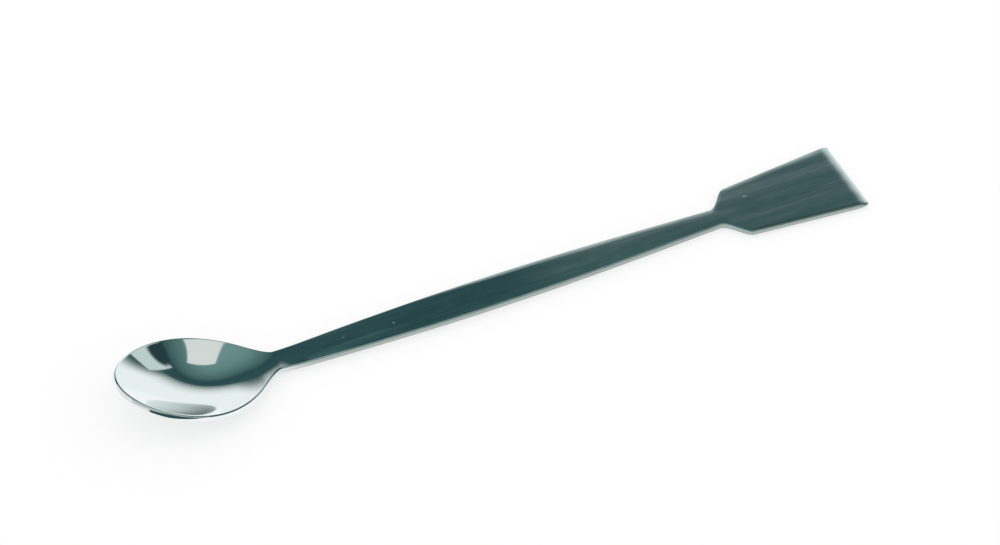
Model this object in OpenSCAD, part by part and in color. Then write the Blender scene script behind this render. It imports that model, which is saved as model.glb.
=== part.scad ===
// Lab spatula: one strip of stainless sheet, stamped to its outline, with an egg-shaped bowl
// pressed into one end and a flat shouldered blade, ground thin at its edge, at the other.
// It is one loft. Each section is a closed ring across the strip: the upper face, a rounded
// edge, the lower face and the other edge. Along the part, x is the distance from the tip of
// the bowl. The finished part lies at rest, on the bottom of its bowl and the end of its blade.

/* [Sheet] */
// Distance from the tip of the bowl to the end of the blade
overall_length = 180; // [165:1:230]
// Thickness of the sheet in the bowl and the handle
sheet = 1.5; // [1:0.1:2]
// Radius of the polished edges
edge_round = 0.35; // [0.1:0.05:0.45]

/* [Bowl] */
// Distance from the tip to where the hollow and the curve of the bowl's outline end
bowl_length = 37.5; // [32:0.5:44]
// Width of the bowl at its widest, in the middle of the sheet
bowl_width = 26.6; // [18:0.2:32]
// Distance from the tip to the widest place
bowl_widest = 17.4; // [13:0.2:20]
// Depth of the hollow below the rim where it is widest
bowl_depth = 3.7; // [2:0.1:6]
// How far the floor keeps that depth towards the tip and the neck: more is flatter and fuller
floor_reach = 0.35; // [0:0.05:0.9]
// How much the hollow flattens out towards the rim, where 0 is an even curve across
rim_flare = 0.25; // [0:0.05:0.4]
// How much the outline draws in towards the tip, where 0 leaves half an ellipse
tip_taper = 0.07; // [0:0.01:0.25]
// Shape of the outline behind the widest place: 0.5 is an ellipse, and more is slimmer
heel_power = 0.8; // [0.6:0.05:1.2]
// Length over which the outline of the bowl turns into that of the handle
neck_blend = 3.8; // [1:0.2:5]
// Height of the rim at the tip above the face of the handle
tip_rise = 8.9; // [2:0.1:12]
// How late the rim turns up: 1 is a straight ramp, and more keeps the rise for the tip
rise_power = 1.8; // [1.2:0.1:2.2]
// Length behind the bowl over which the rim comes down level with the handle
press_run = 7.5; // [4:0.5:12]

/* [Handle] */
// Width of the neck behind the bowl
neck_width = 6; // [5:0.5:8]
// Width of the handle at its widest
handle_width = 9.4; // [8:0.2:14]
// Distance from the tip to the widest place of the handle
handle_widest = 89; // [75:1:105]

/* [Blade] */
// Length of the blade, from its shoulders to its end
blade_length = 28; // [20:1:36]
// Width of the neck in front of the blade
blade_neck_width = 5.5; // [4.5:0.5:8]
// Length of the curve from the neck out to the shoulders
shoulder_run = 6; // [4:0.5:10]
// Width of the blade at its shoulders
shoulder_width = 15.8; // [11:0.2:20]
// Width of the blade at its end
blade_width = 21.3; // [14:0.1:28]
// Radius of the two corners at the end
corner_radius = 0.8; // [0.4:0.1:1.5]
// Thickness of the blade
blade_sheet = 1.4; // [1.2:0.1:1.8]

/* [Ground end] */
// Length that is ground off the upper face towards the end
nose_length = 2.2; // [1:0.1:4]
// Depth of that grinding at the end
nose_drop = 0.4; // [0.1:0.05:0.45]
// Length that is ground off the lower face towards the end
relief_length = 3.5; // [1:0.5:6]
// Depth of that grinding at the end
relief_rise = 0.6; // [0.1:0.05:0.6]

/* [Hidden] */
steel = [0.66, 0.68, 0.69];

press_end = bowl_length + press_run;          // the handle is flat from here on
shoulder_x = overall_length - blade_length;
blade_neck_x = shoulder_x - shoulder_run;
corner_x = overall_length - corner_radius;
ground_x = overall_length - max(nose_length, relief_length);

face_steps = 18;      // strips across a face
arc_steps = 2;        // flats round each rounded edge
tip_steps = 14;       // sections from the tip to the widest place of the bowl
heel_steps = 22;      // from there to the flat handle
handle_steps = 14;
shoulder_steps = 9;
blade_steps = 3;
ground_steps = 5;
corner_steps = 3;
edge_share = 0.45;    // most of the thickness that one rounded edge may take
small = 0.001;        // step for a slope

function clamp(u) = min(max(u, 0), 1);
function ease(u) = let (c = clamp(u)) c * c * (3 - 2 * c);
function unit(v) = v / norm(v);

// The larger of a and b, with the corner between them rounded over the distance k
function smooth_max(a, b, k) =
    let (h = clamp(0.5 + (a - b) / (2 * k)))
    b * (1 - h) + a * h + k * h * (1 - h);

// --- Outline of the strip: half its width at x ---

function tip_half(x) =
    let (u = (bowl_widest - x) / bowl_widest)
    bowl_width / 2 * sqrt(max(1 - u * u, 0)) * (1 - tip_taper * u * u);

function heel_half(x) =
    let (u = (x - bowl_widest) / (bowl_length - bowl_widest), s = 1 - u * u)
    bowl_width / 2 * sign(s) * pow(abs(s), heel_power);

function handle_half(x) =
    x < handle_widest
    ? neck_width / 2 + (handle_width - neck_width) / 2
      * sin(90 * clamp((x - bowl_length) / (handle_widest - bowl_length)))
    : blade_neck_width / 2 + (handle_width - blade_neck_width) / 2
      * sin(90 * clamp((blade_neck_x - x) / (blade_neck_x - handle_widest)));

function blade_half(x) =
    (shoulder_width + (blade_width - shoulder_width) * (x - shoulder_x) / blade_length) / 2;

function half_width(x) =
    x < bowl_widest ? tip_half(x) :
    x < press_end ? smooth_max(heel_half(x), handle_half(x), neck_blend) :
    x < blade_neck_x ? handle_half(x) :
    let (out = ease((x - blade_neck_x) / shoulder_run))
    handle_half(x) * (1 - out) + blade_half(x) * out;

// --- Side view: rim, hollow and thickness ---

// Height of the rim above the middle plane of the handle
function rim_height(x) = tip_rise * pow(clamp(1 - x / press_end), rise_power);

// Depth of the hollow along the middle line: deepest where the outline is widest, and fading
// out where the bowl ends
function hollow_depth(x) =
    let (
        wide = pow(2 * half_width(x) / bowl_width, 2),
        fade = 1 - ease((x - bowl_widest) / (bowl_length - bowl_widest))
    )
    bowl_depth * fade * wide * (1 + floor_reach * (1 - wide));

// Middle of the sheet
function sheet_height(x, y) =
    let (aside = pow(y / max(half_width(x), small), 2))
    rim_height(x) - hollow_depth(x) * (1 - aside) * (1 - rim_flare * aside);

function sheet_normal(x, y) =
    let (
        a = max(x - small, 0),
        along = (sheet_height(x + small, y) - sheet_height(a, y)) / (x + small - a),
        across = (sheet_height(x, y + small) - sheet_height(x, y - small)) / (2 * small)
    )
    unit([-along, -across, 1]);

function thickness(x) = sheet + (blade_sheet - sheet) * ease((x - blade_neck_x) / shoulder_run);

// Distance from the middle of the sheet to its upper and its lower face
function upper(x) =
    let (u = clamp((x - overall_length + nose_length) / nose_length))
    thickness(x) / 2 - nose_drop * u * u;
function lower(x) =
    let (u = clamp((x - overall_length + relief_length) / relief_length))
    thickness(x) / 2 - relief_rise * u * u;

// --- Places of the sections: [x, half width] where each one meets the rim ---

function spread(a, b, steps) = [for (i = [1:steps]) a + (b - a) * i / steps];

straight_x = concat(
    [for (i = [1:tip_steps]) bowl_widest * (1 - cos(90 * i / tip_steps))],
    spread(bowl_widest, press_end, heel_steps),
    spread(press_end, blade_neck_x, handle_steps),
    spread(blade_neck_x, shoulder_x, shoulder_steps),
    spread(shoulder_x, ground_x, blade_steps),
    spread(ground_x, corner_x, ground_steps)
);
corner_y = blade_half(corner_x) - corner_radius;
rim = concat(
    [[0, 0]],
    [for (x = straight_x) [x, half_width(x)]],
    [for (i = [1:corner_steps])
        let (a = 90 * (1 - i / corner_steps))
        [corner_x + corner_radius * cos(a), corner_y + corner_radius * sin(a)]]
);
last = len(rim) - 1;

function rim_point(i) =
    i < 0 ? let (p = rim_point(-i)) [p.x, -p.y, p.z] :
    i > last ? [rim[last].x, 0, rim_height(rim[last].x)] :
    [rim[i].x, rim[i].y, rim_height(rim[i].x)];

// --- One section: points from the middle of the upper face to the middle of the lower ---

// Direction out of the outline, in the plane of the sheet
function outward(i) =
    unit(cross(sheet_normal(rim[i].x, rim[i].y), rim_point(i + 1) - rim_point(i - 1)));

function edge_radius(x) = min(edge_round, edge_share * (upper(x) + lower(x)));

// Points round the edge, from the upper face to the lower one
function edge_points(i) =
    let (
        x = rim[i].x,
        middle = rim_point(i),
        normal = sheet_normal(x, rim[i].y),
        out = outward(i),
        r = edge_radius(x)
    )
    concat(
        [for (k = [1:arc_steps]) let (a = 90 * (1 - k / arc_steps))
            middle + normal * (upper(x) - r + r * sin(a)) - out * (r - r * cos(a))],
        [for (k = [0:arc_steps - 1]) let (a = 90 * k / arc_steps)
            middle - normal * (lower(x) - r + r * sin(a)) - out * (r - r * cos(a))]
    );

// Where a face ends and its rounded edge begins, seen from above
function face_end(i) =
    let (out = outward(i), r = edge_radius(rim[i].x))
    [rim[i].x - r * out.x, rim[i].y - r * out.y];

// One face from y = -end to y = +end, where side is 1 for the upper and -1 for the lower
function face_points(i, side) =
    let (
        end = face_end(i),
        gap = side > 0 ? upper(rim[i].x) : lower(rim[i].x)
    )
    [for (k = [0:face_steps])
        let (y = end.y * (2 * k / face_steps - 1))
        [end.x, y, sheet_height(end.x, y)] + side * gap * sheet_normal(end.x, y)];

function mirrored(points) = [for (p = points) [p.x, -p.y, p.z]];
function reversed(list) = [for (i = [len(list) - 1:-1:0]) list[i]];

// A whole ring: upper face, edge at +y, lower face backwards, edge at -y
function ring(i) =
    let (edge = edge_points(i))
    concat(face_points(i, 1), edge, reversed(face_points(i, -1)), mirrored(reversed(edge)));

// At the tip both edges are one, so the ring there is a single column of points
edge_count = 2 * arc_steps;
face_count = face_steps + 1;
ring_count = 2 * (face_count + edge_count);
tip_column = concat([face_points(0, 1)[0]], edge_points(0), [face_points(0, -1)[0]]);

// Place in the tip's column of the ring's point j
function tip_index(j) =
    j < face_count ? 0 :
    j < face_count + edge_count ? j - face_count + 1 :
    j < 2 * face_count + edge_count ? edge_count + 1 :
    ring_count - j;

function ring_index(i, j) = len(tip_column) + (i - 1) * ring_count + j % ring_count;

// Triangles between two rings, and from the tip's column to the first ring
between = [for (i = [1:last - 1], j = [0:ring_count - 1])
    let (a = ring_index(i, j), b = ring_index(i, j + 1),
         c = ring_index(i + 1, j + 1), d = ring_index(i + 1, j))
    each [[a, b, c], [a, c, d]]];
tip_faces = [for (j = [0:ring_count - 1])
    let (a = tip_index(j), b = tip_index((j + 1) % ring_count),
         c = ring_index(1, j + 1), d = ring_index(1, j))
    each concat(a == b ? [] : [[a, b, c]], [[a, c, d]])];

// The end of the blade closes between its two edges: a fan under each face, quads between
function left_index(k) = ring_index(last, ring_count - 1 - k);
function right_index(k) = ring_index(last, face_count + k);
lowest_row = edge_count - 1;
lower_start = face_count + edge_count;
end_faces = concat(
    [for (j = [0:face_steps - 1]) [ring_index(last, j), ring_index(last, j + 1), right_index(0)]],
    [[ring_index(last, 0), right_index(0), left_index(0)]],
    [for (k = [0:lowest_row - 1])
        each [[left_index(k), right_index(k), right_index(k + 1)],
              [left_index(k), right_index(k + 1), left_index(k + 1)]]],
    [[left_index(lowest_row), right_index(lowest_row), ring_index(last, lower_start + face_steps)]],
    [for (j = [0:face_steps - 1])
        [right_index(lowest_row), ring_index(last, lower_start + j),
         ring_index(last, lower_start + j + 1)]]
);

loft_points = concat(tip_column, [for (i = [1:last]) each ring(i)]);

// --- Rest: the bowl's bottom and the blade's end both touch the ground ---

underside = [for (i = [1:last]) face_points(i, -1)[face_steps / 2]];
bowl_side = [for (p = underside) if (p.x < press_end) p];
blade_side = [for (p = underside) if (p.x > shoulder_x) p];
rest_tilt = max([for (p = bowl_side) min([for (q = blade_side) atan2(q.z - p.z, q.x - p.x)])]);
function tilted(p) = [
    p.x * cos(rest_tilt) + p.z * sin(rest_tilt), p.y, p.z * cos(rest_tilt) - p.x * sin(rest_tilt)];
tilted_points = [for (p = loft_points) tilted(p)];
xs = [for (p = tilted_points) p.x];
ground = min([for (p = tilted_points) p.z]);
origin = [(min(xs) + max(xs)) / 2, 0, ground];

module spatula() {
    color(steel)
    polyhedron(
        points = [for (p = tilted_points) p - origin],
        faces = concat(tip_faces, between, end_faces),
        convexity = 4
    );
}

spatula();
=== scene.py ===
import math
import bpy
from mathutils import Matrix, Vector


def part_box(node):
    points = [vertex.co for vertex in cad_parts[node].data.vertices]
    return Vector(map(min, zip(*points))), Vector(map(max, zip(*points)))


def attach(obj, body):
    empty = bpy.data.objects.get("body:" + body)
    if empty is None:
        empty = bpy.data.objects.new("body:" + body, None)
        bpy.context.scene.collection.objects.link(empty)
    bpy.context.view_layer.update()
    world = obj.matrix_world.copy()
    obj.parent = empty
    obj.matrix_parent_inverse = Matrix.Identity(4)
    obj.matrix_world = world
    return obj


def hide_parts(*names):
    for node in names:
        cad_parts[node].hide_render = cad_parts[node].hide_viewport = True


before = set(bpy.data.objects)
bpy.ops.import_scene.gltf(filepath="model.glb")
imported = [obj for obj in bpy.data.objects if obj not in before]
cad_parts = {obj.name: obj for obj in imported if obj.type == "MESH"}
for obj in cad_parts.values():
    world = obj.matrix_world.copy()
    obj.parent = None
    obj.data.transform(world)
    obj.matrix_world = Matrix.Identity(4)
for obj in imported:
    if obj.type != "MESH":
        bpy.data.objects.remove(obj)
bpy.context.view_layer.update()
partLow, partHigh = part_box("spatula")
mm = 0.001
small = 0.001                      # a step for slopes, and what keeps a divisor from being 0
quarterTurn = math.pi / 2
print("frame loaded")

# Lengths are in millimetres, and places are measured from the tip of the bowl
spatula = {
    "length": 180,
    "sheet": 1.5,
    "edgeRound": 0.35,
    "edgeShare": 0.45,             # the most of the thickness that one rounded edge takes
    "bowlLength": 37.5,
    "bowlWidth": 26.6,
    "bowlWidest": 17.4,
    "tipTaper": 0.07,              # how far the tip is drawn in from an ellipse, as a share
    "heelPower": 0.8,              # the bowl's outline towards the handle: 0.5 is an ellipse, 1 a parabola
    "neckBlend": 3.8,              # how softly the bowl's outline runs into the handle's
    "tipRise": 8.9,
    "risePower": 1.8,              # how much of the rise is kept for the tip
    "pressRun": 7.5,               # how far past the bowl the pressed part ends
    "bowlDepth": 3.7,              # below the rim where the bowl is widest
    "dishMiddle": 15.8,
    "dishReach": 25.4,             # how far the pressed dish runs from there
    "dishStretch": 0.14,           # how much further that is towards the handle than towards the tip
    "dishHalfWidth": 17.05,
    "dishPower": 1.79,             # how softly the dish starts at its outer limit
    "neckWidth": 6,
    "handleWidth": 9.4,
    "handleWidest": 89,
    "bladeLength": 28,
    "bladeNeckWidth": 5.5,
    "shoulderRun": 6,
    "shoulderWidth": 15.8,
    "bladeWidth": 21.3,
    "cornerRadius": 0.8,
    "bladeSheet": 1.4,             # how thick the sheet is at the blade
    "noseLength": 2.2,             # the bevel ground on the blade's upper face
    "noseDrop": 0.4,
    "reliefLength": 3.5,           # the bevel on its lower face
    "reliefRise": 0.6,
    "crown": 0.06,                 # how much lower polishing has left the faces at their edges
    "edgeFall": 0.1,               # how far the edge towards +Y is worn down besides
    "fallReach": 1.7,              # how far in from that edge the fall starts
    "fallRun": 55,                 # and over how much of the handle it grows
    "wearRun": 12,                 # the stretch before the end of the pressed part where all wear fades in
}
# How finely the smooth mesh is cut, and the underside where the tilt is looked for
fineness = {"face": 72, "arc": 6, "tip": 48, "heel": 76, "handle": 50, "shoulder": 36, "blade": 8, "end": 24,
            "corner": 10, "tilt": 720}

pressEnd = spatula["bowlLength"] + spatula["pressRun"]
shoulderX = spatula["length"] - spatula["bladeLength"]
bladeNeckX = shoulderX - spatula["shoulderRun"]
cornerX = spatula["length"] - spatula["cornerRadius"]
groundX = spatula["length"] - max(spatula["noseLength"], spatula["reliefLength"])


def clamp(u):
    return min(max(u, 0), 1)


def ease(u):
    c = clamp(u)
    return c * c * (3 - 2 * c)


def mix(a, b, share):
    return a + (b - a) * share


def smoothMax(a, b, reach):
    h = clamp(0.5 + (a - b) / (2 * reach))
    return mix(b, a, h) + reach * h * (1 - h)


def spread(a, b, steps):
    return [mix(a, b, i / steps) for i in range(1, steps + 1)]


# Half the width of the strip at x: each stretch by itself, then all of them joined
def bowlTipHalf(x):
    u = (spatula["bowlWidest"] - x) / spatula["bowlWidest"]
    return spatula["bowlWidth"] / 2 * math.sqrt(max(1 - u * u, 0)) * (1 - spatula["tipTaper"] * u * u)


def bowlHeelHalf(x):
    u = (x - spatula["bowlWidest"]) / (spatula["bowlLength"] - spatula["bowlWidest"])
    s = 1 - u * u
    return spatula["bowlWidth"] / 2 * math.copysign(abs(s) ** spatula["heelPower"], s)


def handleHalf(x):
    if x < spatula["handleWidest"]:
        u = (x - spatula["bowlLength"]) / (spatula["handleWidest"] - spatula["bowlLength"])
        narrow = spatula["neckWidth"]
    else:
        u = (bladeNeckX - x) / (bladeNeckX - spatula["handleWidest"])
        narrow = spatula["bladeNeckWidth"]
    return mix(narrow, spatula["handleWidth"], math.sin(quarterTurn * clamp(u))) / 2


def bladeHalf(x):
    return mix(spatula["shoulderWidth"], spatula["bladeWidth"], (x - shoulderX) / spatula["bladeLength"]) / 2


def halfWidth(x):
    if x < spatula["bowlWidest"]:
        return bowlTipHalf(x)
    if x < pressEnd:
        return smoothMax(bowlHeelHalf(x), handleHalf(x), spatula["neckBlend"])
    return mix(handleHalf(x), bladeHalf(x), ease((x - bladeNeckX) / spatula["shoulderRun"]))


def rimHeight(x):
    return spatula["tipRise"] * clamp(1 - x / pressEnd) ** spatula["risePower"]


# Shape of the pressed dish: 1 at its middle and 0 at its outer limit
def dish(x, y):
    ahead = x - spatula["dishMiddle"]
    along = ahead / (spatula["dishReach"] + spatula["dishStretch"] * ahead)
    return clamp(1 - along ** 2 - (y / spatula["dishHalfWidth"]) ** 2) ** spatula["dishPower"]


# How much of it lies below the rim beside it
def dishBelowRim(x, y):
    return dish(x, y) - dish(x, halfWidth(x))


dishScale = spatula["bowlDepth"] / dishBelowRim(spatula["bowlWidest"], 0)


# Height of the middle of the sheet
def sheetHeight(x, y):
    return rimHeight(x) - dishScale * dishBelowRim(x, y)


def sheetNormal(x, y):
    before = max(x - small, 0)
    along = (sheetHeight(x + small, y) - sheetHeight(before, y)) / (x + small - before)
    across = (sheetHeight(x, y + small) - sheetHeight(x, y - small)) / (2 * small)
    return Vector((-along, -across, 1)).normalized()


def thickness(x):
    return mix(spatula["sheet"], spatula["bladeSheet"], ease((x - bladeNeckX) / spatula["shoulderRun"]))


# How much polishing took off a face at x and y, which leaves the bowl alone
def worn(x, y):
    near = clamp(1 - (halfWidth(x) - y) / spatula["fallReach"])
    crown = spatula["crown"] * (y / max(halfWidth(x), small)) ** 2
    fall = spatula["edgeFall"] * near * near * ease((x - pressEnd) / spatula["fallRun"])
    return (crown + fall) * ease((x - pressEnd) / spatula["wearRun"] + 1)


# From the middle of the sheet to its upper and its lower face
def upperGap(x):
    u = clamp((x - spatula["length"] + spatula["noseLength"]) / spatula["noseLength"])
    return thickness(x) / 2 - spatula["noseDrop"] * u * u


def lowerGap(x):
    u = clamp((x - spatula["length"] + spatula["reliefLength"]) / spatula["reliefLength"])
    return thickness(x) / 2 - spatula["reliefRise"] * u * u


# The rim on one side, from the tip of the bowl to the end of the blade
def rimLine():
    stations = [spatula["bowlWidest"] * (1 - math.cos(quarterTurn * share))
                for share in spread(0, 1, fineness["tip"])]
    stations += spread(spatula["bowlWidest"], pressEnd, fineness["heel"])
    stations += spread(pressEnd, bladeNeckX, fineness["handle"])
    stations += spread(bladeNeckX, shoulderX, fineness["shoulder"])
    stations += spread(shoulderX, groundX, fineness["blade"])
    stations += spread(groundX, cornerX, fineness["end"])
    line = [(0, 0)] + [(x, halfWidth(x)) for x in stations]
    radius = spatula["cornerRadius"]
    middle = bladeHalf(cornerX) - radius
    for angle in spread(quarterTurn, 0, fineness["corner"]):
        line.append((cornerX + radius * math.cos(angle), middle + radius * math.sin(angle)))
    return [Vector((x, y, rimHeight(x))) for x, y in line]


# One ring of points round the strip: upper face, rounded edge, lower face, the other edge
def ringAround(rim, i):
    here = rim[i]
    before = rim[i - 1] if i else Vector((rim[1].x, -rim[1].y, rim[1].z))
    after = rim[i + 1] if i + 1 < len(rim) else Vector((here.x, 0, here.z))
    normal = sheetNormal(here.x, here.y)
    outward = normal.cross(after - before).normalized()
    upper = upperGap(here.x)
    lower = lowerGap(here.x)
    radius = min(spatula["edgeRound"], spatula["edgeShare"] * (upper + lower))
    faceX = here.x - radius * outward.x    # where the faces end and the rounding begins
    faceY = here.y - radius * outward.y

    def quarterRound(gap, way, side):      # from a face out to the edge, on the upper side or the lower
        inner = gap - worn(faceX, side * faceY) - radius
        row = []
        for angle in spread(quarterTurn, 0, fineness["arc"]):
            rise = inner + radius * math.sin(angle)
            row.append(here + way * rise * normal - radius * (1 - math.cos(angle)) * outward)
        return row

    def roundedEdge(side):
        return quarterRound(upper, 1, side) + quarterRound(lower, -1, side)[::-1]

    def faceRow(gap):
        row = []
        for share in [-1] + spread(-1, 1, fineness["face"]):
            y = faceY * share
            depth = gap - math.copysign(worn(faceX, y), gap)
            row.append(Vector((faceX, y, sheetHeight(faceX, y))) + depth * sheetNormal(faceX, y))
        return row

    upperFace = faceRow(upper)
    lowerFace = faceRow(-lower)
    if i == 0:                             # at the tip the ring shrinks to one upright column
        return [upperFace[0]] + roundedEdge(1) + [lowerFace[0]]
    rightEdge = [Vector((p.x, -p.y, p.z)) for p in reversed(roundedEdge(-1))]
    return upperFace + roundedEdge(1) + lowerFace[::-1] + rightEdge


# Angle at which the part lies, on the bottom of its bowl and the end of its blade
def restTilt():
    under = []
    for x in spread(0, spatula["length"] - small, fineness["tilt"]):
        under.append(Vector((x, 0, sheetHeight(x, 0))) - lowerGap(x) * sheetNormal(x, 0))
    bowlSide = [p for p in under if p.x < pressEnd]
    bladeSide = [p for p in under if p.x > shoulderX]
    return max(min(math.atan2(q.z - p.z, q.x - p.x) for q in bladeSide) for p in bowlSide)


# Laid down at that angle, over the middle of the part's own box
def laidDown(points):
    turn = Matrix.Rotation(restTilt(), 3, "Y")
    points = [turn @ p for p in points]
    middle = (min(p.x for p in points) + max(p.x for p in points)) / 2
    ground = min(p.z for p in points)
    place = Vector(((partLow.x + partHigh.x) / 2, 0, partLow.z))
    return [(p - Vector((middle, 0, ground))) * mm + place for p in points]


def makeSpatula():
    rim = rimLine()
    column = ringAround(rim, 0)
    rings = [ringAround(rim, i) for i in range(1, len(rim))]
    around = len(rings[0])
    last = len(rings) - 1
    face = fineness["face"] + 1
    arc = 2 * fineness["arc"]

    def tipIndex(j):                       # where the ring's point j meets the tip's column
        if j < face:
            return 0
        if j < face + arc:
            return j - face + 1
        if j < 2 * face + arc:
            return arc + 1
        return around - j

    def ringIndex(i, j):
        return len(column) + i * around + j % around

    polygons = []
    for j in range(around):
        corners = [tipIndex(j), tipIndex((j + 1) % around), ringIndex(0, j + 1), ringIndex(0, j)]
        polygons.append(corners if corners[0] != corners[1] else corners[1:])
    for i in range(last):
        for j in range(around):
            corners = [ringIndex(i, j), ringIndex(i, j + 1), ringIndex(i + 1, j + 1), ringIndex(i + 1, j)]
            polygons.append(corners)
    upper = [ringIndex(last, k) for k in range(face)]
    lower = [ringIndex(last, 2 * face + arc - 1 - k) for k in range(face)]
    for k in range(face - 1):              # the end of the blade, from the upper face to the lower
        polygons.append([upper[k], upper[k + 1], lower[k + 1], lower[k]])
    polygons.append([ringIndex(last, face - 1 + k) for k in range(arc + 2)])
    polygons.append([ringIndex(last, k) for k in range(2 * face + arc - 1, around + 1)])

    mesh = bpy.data.meshes.new("spatula_steel")
    mesh.from_pydata(laidDown(column + [p for ring in rings for p in ring]), [], polygons)
    mesh.polygons.foreach_set("use_smooth", [True] * len(mesh.polygons))
    ringSide = [0] * face + [1] * arc + [0] * face + [1] * arc
    sides = [0] + [1] * arc + [0] + ringSide * len(rings)
    mesh.attributes.new("sheared", "FLOAT", "POINT").data.foreach_set("value", sides)
    mesh.update()
    made = bpy.data.objects.new("spatula_steel", mesh)
    bpy.context.scene.collection.objects.link(made)
    return made


piece = makeSpatula()
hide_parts("spatula")
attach(piece, "root")
print("spatula made:", len(piece.data.vertices), "points")


# A socket that is used like a number: each sum adds its own node
class Wire:
    def __init__(self, graph, socket):
        self.graph = graph
        self.socket = socket

    def __add__(self, other):
        return self.graph.math("ADD", self, other)

    def __radd__(self, other):
        return self.graph.math("ADD", other, self)

    def __sub__(self, other):
        return self.graph.math("SUBTRACT", self, other)

    def __rsub__(self, other):
        return self.graph.math("SUBTRACT", other, self)

    def __mul__(self, other):
        return self.graph.math("MULTIPLY", self, other)

    def __rmul__(self, other):
        return self.graph.math("MULTIPLY", other, self)

    def __truediv__(self, other):
        return self.graph.math("DIVIDE", self, other)

    def __pow__(self, other):
        return self.graph.math("POWER", self, other)

    def __abs__(self):
        return self.graph.math("ABSOLUTE", self)


class Graph:
    def __init__(self, tree):
        self.tree = tree
        tree.nodes.clear()

    def node(self, kind, settings, sockets):
        made = self.tree.nodes.new("ShaderNode" + kind)
        for name, value in settings.items():
            if name == "stops":
                ramp = made.color_ramp
                ramp.elements[0].position, ramp.elements[0].color = value[0]
                ramp.elements[1].position, ramp.elements[1].color = value[-1]
                for place, colour in value[1:-1]:
                    ramp.elements.new(place).color = colour
            else:
                setattr(made, name, value)
        for name, value in sockets.items():
            if isinstance(value, Wire):
                self.tree.links.new(value.socket, made.inputs[name])
            else:
                made.inputs[name].default_value = value
        return made

    def wire(self, kind, settings, sockets, output=0):
        return Wire(self, self.node(kind, settings, sockets).outputs[output])

    def math(self, operation, *values):
        return self.wire("Math", {"operation": operation}, dict(enumerate(values)))

    def larger(self, a, b):
        return self.math("MAXIMUM", a, b)

    def step(self, value, low, high):      # 0 at low, 1 at high, eased between
        return self.wire("MapRange", {"interpolation_type": "SMOOTHSTEP"},
                         {"Value": value, "From Min": low, "From Max": high})

    def mixColour(self, factor, a, b):     # a Mix node's colours are its sockets 6 and 7, and come out at 2
        return self.wire("Mix", {"data_type": "RGBA"}, {0: factor, 6: a, 7: b}, 2)

    def dot(self, a, b):
        return self.wire("VectorMath", {"operation": "DOT_PRODUCT"}, {0: a, 1: b}, "Value")

    def split(self, vector):
        parts = self.node("SeparateXYZ", {}, {"Vector": vector})
        return [Wire(self, output) for output in parts.outputs]

    def noise(self, place, pitch, detail, roughness):      # from -0.5 to 0.5
        scaled = [axis * share for axis, share in zip(place, pitch)]
        vector = self.wire("CombineXYZ", {}, dict(zip("XYZ", scaled)))
        return self.wire("TexNoise", {}, {"Vector": vector, "Scale": 1, "Detail": detail,
                                          "Roughness": roughness}) - 0.5


def grey(level):
    return (level, level, level, 1)


# Places and sizes in millimetres along and across, and each noise's turns a millimetre along, across and up
finish = {
    "steel": (0.86, 0.905, 0.9, 1),
    "streaked": (0.66, 0.76, 0.765, 1),    # the darker streaks along the handle and blade
    "dullAndShade": (0.44, 0.5, 0.48, 1),        # the sheared sides, duller and with painted shade, and the painted shade along the blade's edge towards -Y
    "bowlRoughness": 0.05,
    "handleRoughness": 0.09,
    "bladeRoughness": 0.18,
    "groundRoughness": 0.32,
    "sideRoughness": 0.3,
    "flatRun": (-12, 4),                   # where the bowl's polish ends, from the end of the pressed part
    "hazeRun": (86, 112),                  # where the handle's finish turns into the blade's hazier one
    "bladeRun": 4,                         # how far past the shoulders the painted shade on the blade's edge is full
    "bevelRun": (0.6, 0.4),                # ground from this far before the bevel to this far from the end
    "edgeShadeRun": (0.4, 1.4),               # in from the blade's edge, where its painted shade fades out
    "sideTurn": (0.3, 0.75),               # a sheared side fades out as it turns from upright to level
    "lines": {"pitch": (0.035, 1.1, 2), "detail": 2, "roughness": 0.5},
    "waves": {"pitch": (0.03, 0.2, 0), "detail": 1, "roughness": 0.5},
    "cloud": {"pitch": (0.12, 0.35, 0.3), "detail": 3, "roughness": 0.6},
    "lineRoughness": 0.05,                 # how much the lines and clouds add to the roughness
    "cloudRoughness": 0.06,
    "streakEdge": (-0.16, 0.16),           # how sharply the streaks stand out
    "waveDepth": 0.16,
    "lineDepth": 0.005,
    "nick": {"place": (155.7, 3.6), "size": (0.8, 0.5), "depth": 0.022},
    "specks": [{"place": (66.4, 0), "size": (0.35, 0.35), "depth": 0.02},
               {"place": (54.3, 0.6), "size": (0.35, 0.35), "depth": 0.012},
               {"place": (136.5, -0.6), "size": (0.35, 0.3), "depth": 0.008}],
}


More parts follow.
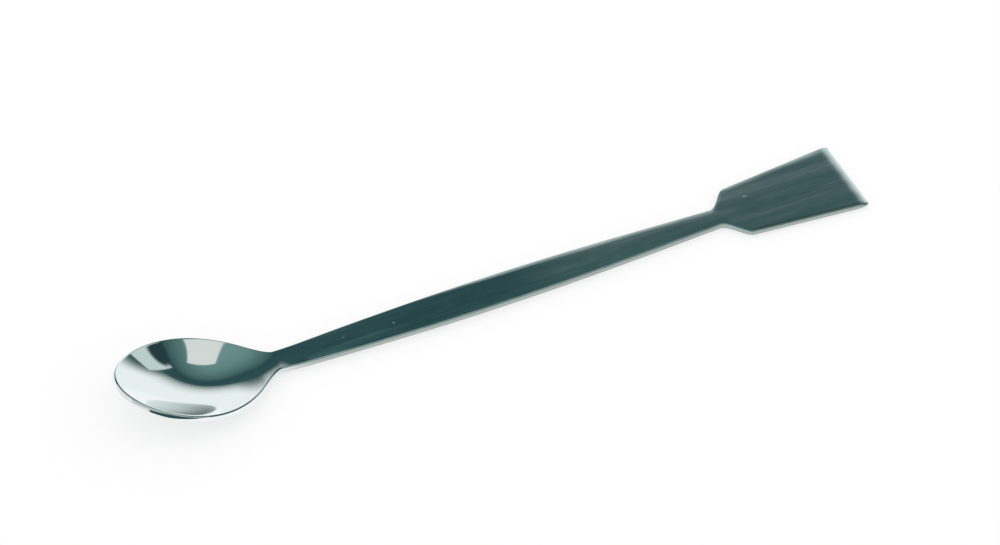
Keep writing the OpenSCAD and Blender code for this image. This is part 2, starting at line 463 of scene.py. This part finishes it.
def steelMaterial():
    material = bpy.data.materials.new("stainless_steel")
    material.use_nodes = True
    g = Graph(material.node_tree)
    coordinates = g.node("TexCoord", {}, {})
    x, y, z = g.split(Wire(g, coordinates.outputs["Object"]))
    level = abs(g.split(Wire(g, coordinates.outputs["Normal"]))[2])
    along = (x - partLow.x) / mm
    across = y / mm
    place = (along, across, z / mm)

    # Each is 1 on its own part of the steel
    flat = g.step(along, pressEnd + finish["flatRun"][0], pressEnd + finish["flatRun"][1])
    haze = g.step(along, *finish["hazeRun"])
    blade = g.step(along, bladeNeckX, shoulderX + finish["bladeRun"])
    bevel = spatula["length"] - spatula["noseLength"]
    ground = g.step(along, bevel - finish["bevelRun"][0], spatula["length"] - finish["bevelRun"][1])
    widening = (spatula["bladeWidth"] - spatula["shoulderWidth"]) / 2 / spatula["bladeLength"]
    fromEdge = across + spatula["shoulderWidth"] / 2 + (along - shoulderX) * widening
    # Painted shade: a darker band along the blade's edge towards -Y
    edgeShade = blade * (1 - g.step(fromEdge, *finish["edgeShadeRun"]))
    sheared = g.wire("Attribute", {"attribute_name": "sheared"}, {}, "Fac")
    side = sheared * (1 - g.step(level, *finish["sideTurn"]))

    lines = g.noise(place, **finish["lines"])
    waves = g.noise(place, **finish["waves"])
    cloud = g.noise(place, **finish["cloud"])

    roughness = (finish["bowlRoughness"]
                 + flat * (finish["handleRoughness"] - finish["bowlRoughness"])
                 + haze * (finish["bladeRoughness"] - finish["handleRoughness"])
                 + ground * (finish["groundRoughness"] - finish["bladeRoughness"])
                 + side * flat * (finish["sideRoughness"] - finish["handleRoughness"])
                 + flat * (lines * finish["lineRoughness"] + cloud * finish["cloudRoughness"]))

    relief = flat * (waves * finish["waveDepth"] + lines * finish["lineDepth"])
    for mark in [finish["nick"]] + finish["specks"]:
        ahead = (along - mark["place"][0]) / mark["size"][0]
        aside = (across - mark["place"][1]) / mark["size"][1]
        relief = relief - (1 - g.step(ahead ** 2 + aside ** 2, 0, 1)) * mark["depth"]
    bump = g.wire("Bump", {}, {"Height": relief, "Distance": mm, "Strength": 1})

    streaks = g.larger(flat * (1 - side) * g.step(cloud + lines, *finish["streakEdge"]), ground)
    colour = g.mixColour(streaks, finish["steel"], finish["streaked"])
    # the sheared sides get a darker colour, partly their duller finish and partly painted shade; the blade's
    # edge towards -Y gets painted shade
    colour = g.mixColour(g.larger(side * flat, edgeShade), colour, finish["dullAndShade"])
    shader = g.wire("BsdfPrincipled", {}, {"Base Color": colour, "Metallic": 1, "Roughness": roughness,
                                           "Normal": bump})
    g.node("OutputMaterial", {}, {"Surface": shader})
    return material


piece.data.materials.append(steelMaterial())
print("steel finished")


# The studio: a pale floor, a white sheet hung behind it, a dim teal room, and a few plain cards round it.
# Bearings, heights and turns are in degrees as seen from the spatula, bearings to the right of viewHeading,
# and a card's size is a share of its distance
studio = {
    "floor": 0.4,                  # the floor's own colour, which keeps the shadow
    "floorReach": 4000,
    "daylight": 1.0,               # what lights every matt surface
    "viewHeading": 25.084,         # in degrees from +Y towards +X
    "sheet": (0.91, 0.95, 0.945, 1),
    "sheetBearing": 14.65,
    "sheetRight": (0.38, 0.64),    # its edges fade from one to the other, as shares of its distance
    "sheetLeft": (0.49, 0.67),
    "sheetFade": [(0.36, 1), (0.5, 0.85), (0.6, 0.66), (0.68, 0.45), (0.76, 0.26), (0.84, 0)],
    "room": [                      # its colour by how steeply a direction climbs, from level to straight up
        (0.0, (0.030, 0.080, 0.086, 1)),
        (0.643, (0.030, 0.080, 0.086, 1)),
        (0.719, (0.026, 0.070, 0.076, 1)),
        (0.788, (0.066, 0.142, 0.140, 1)),
        (0.848, (0.095, 0.193, 0.185, 1)),
        (0.899, (0.127, 0.249, 0.238, 1)),
        (1.0, (0.175, 0.310, 0.308, 1)),
    ],
    "cards": [
        {"bearing": 55.6, "height": 34.2, "turn": -18.4, "size": (0.300, 0.330), "round": False,
         "colour": (0.58, 0.68, 0.67, 1)},
        {"bearing": 62.8, "height": 41, "turn": -13.6, "size": (0.356, 0.246), "round": True,
         "colour": (0.02, 0.048, 0.055, 1)},
        {"bearing": -116, "height": 12, "turn": 0, "size": (1.93, 0.76), "round": False,
         "colour": (0.86, 0.84, 0.84, 1)},
        {"bearing": 44.7, "height": 68.6, "turn": -46, "size": (0.335, 0.176), "round": False,
         "colour": (0.73, 0.75, 0.74, 1)},
        {"bearing": 180, "height": 34, "turn": 0, "size": (2.2, 0.7), "round": False,
         "colour": (0.52, 0.58, 0.57, 1)},
    ],
    "cardEdge": (0.93, 1.07),      # how softly a card ends, as shares of its half size
    "roundEdge": (0.6, 1.3),       # and a round one, as shares of its radius squared
}


# 1 for what the camera sees straight, for what is mirrored, and for what shows through glass
def rayKinds(g):
    path = g.node("LightPath", {}, {})
    return [Wire(g, path.outputs[name]) for name in ("Is Camera Ray", "Is Glossy Ray", "Is Transmission Ray")]


# The floor looks white wherever it is seen, and is clear from below
def makeFloor():
    reach = studio["floorReach"] * mm
    mesh = bpy.data.meshes.new("floor")
    mesh.from_pydata([(-reach, -reach, 0), (reach, -reach, 0), (reach, reach, 0), (-reach, reach, 0)],
                     [], [(0, 1, 2, 3)])
    made = bpy.data.objects.new("floor", mesh)
    bpy.context.scene.collection.objects.link(made)
    material = bpy.data.materials.new("floor")
    material.use_nodes = True
    g = Graph(material.node_tree)
    camera, glossy, through = rayKinds(g)
    seen = g.larger(g.larger(camera, glossy), through)
    matt = g.wire("BsdfDiffuse", {}, {"Color": grey(studio["floor"])})
    missing = 1 - studio["floor"] * studio["daylight"]
    glow = g.wire("Emission", {}, {"Color": grey(1), "Strength": seen * missing})
    lit = g.wire("AddShader", {}, {0: matt, 1: glow})
    under = g.wire("NewGeometry", {}, {}, "Backfacing") * camera
    clear = g.wire("BsdfTransparent", {}, {})
    surface = g.wire("MixShader", {}, {0: under, 1: lit, 2: clear})
    g.node("OutputMaterial", {}, {"Surface": surface})
    mesh.materials.append(material)


# Unit vectors out to a place round the spatula, and to the right and up as seen from the spatula
def facingFrame(bearing, height, turn):
    heading = math.radians(studio["viewHeading"] + bearing)
    climb = math.radians(height)
    twist = math.radians(turn)
    out = Vector((math.sin(heading) * math.cos(climb), math.cos(heading) * math.cos(climb), math.sin(climb)))
    right = Vector((math.cos(heading), -math.sin(heading), 0))
    up = right.cross(out)
    return (out, right * math.cos(twist) + up * math.sin(twist),
            up * math.cos(twist) - right * math.sin(twist))


# Where a direction meets the flat card that hangs there: across it, up it, and whether it is ahead
def onCard(g, direction, bearing, height, turn=0):
    out, right, up = [g.dot(direction, axis) for axis in facingFrame(bearing, height, turn)]
    far = g.larger(out, small)
    return right / far, up / far, g.math("GREATER_THAN", out, 0)


def cardMask(g, direction, card):
    across, up, ahead = onCard(g, direction, card["bearing"], card["height"], card["turn"])
    across = across / (card["size"][0] / 2)
    up = up / (card["size"][1] / 2)
    if card["round"]:
        return (1 - g.step(across ** 2 + up ** 2, *studio["roundEdge"])) * ahead
    beside = g.step(abs(across), *studio["cardEdge"])
    above = g.step(abs(up), *studio["cardEdge"])
    return (1 - beside) * (1 - above) * ahead


def sheetMask(g, direction):
    across, up, ahead = onCard(g, direction, studio["sheetBearing"], 0)
    stops = [(place, grey(level)) for place, level in studio["sheetFade"]]
    fade = g.wire("ValToRGB", {"stops": stops}, {"Fac": up})
    right = 1 - g.step(across, *studio["sheetRight"])
    left = 1 - g.step(0 - across, *studio["sheetLeft"])
    return fade * right * left * ahead


# Metal mirrors the room, matt surfaces get the daylight, and the camera sees plain white
def makeWorld():
    world = bpy.data.worlds.new("studio")
    world.use_nodes = True
    world.cycles.sampling_method = "NONE"
    g = Graph(world.node_tree)
    camera, glossy, through = rayKinds(g)
    direction = g.wire("TexCoord", {}, {}, "Generated")
    climb = g.split(direction)[2]
    around = g.wire("ValToRGB", {"stops": studio["room"]}, {"Fac": climb})
    for card in studio["cards"]:
        around = g.mixColour(cardMask(g, direction, card), around, card["colour"])
    around = g.mixColour(sheetMask(g, direction), around, studio["sheet"])
    around = g.mixColour(g.math("LESS_THAN", climb, 0), around, grey(1))
    plain = g.mixColour(camera, grey(studio["daylight"]), grey(1))
    colour = g.mixColour(g.larger(glossy, through) * (1 - camera), plain, around)
    background = g.wire("Background", {}, {"Color": colour, "Strength": 1})
    g.node("OutputWorld", {}, {"Surface": background})
    bpy.context.scene.world = world


makeFloor()
makeWorld()
print("studio lit")

# Distance and aim in millimetres from the middle of the part, angles in degrees
cameraPlace = {
    "azimuth": -25.084,
    "elevation": 44.241,
    "roll": -0.2095,
    "distance": 1200,
    "lens": 192.57,
    "aim": (4.689, 5.16, 0.937),
}


def makeCamera():
    azimuth = math.radians(cameraPlace["azimuth"])
    elevation = math.radians(cameraPlace["elevation"])
    back = Vector((math.sin(azimuth) * math.cos(elevation), -math.cos(azimuth) * math.cos(elevation),
                   math.sin(elevation)))
    camera = bpy.data.objects.new("camera", bpy.data.cameras.new("camera"))
    bpy.context.scene.collection.objects.link(camera)
    camera.data.lens = cameraPlace["lens"]
    camera.location = (Vector(cameraPlace["aim"]) + cameraPlace["distance"] * back) * mm
    roll = Matrix.Rotation(math.radians(cameraPlace["roll"]), 3, "Z")
    camera.rotation_euler = (back.to_track_quat("Z", "Y").to_matrix() @ roll).to_euler()
    bpy.context.scene.camera = camera


makeCamera()
bpy.context.scene.view_settings.view_transform = "Standard"
print("camera placed")
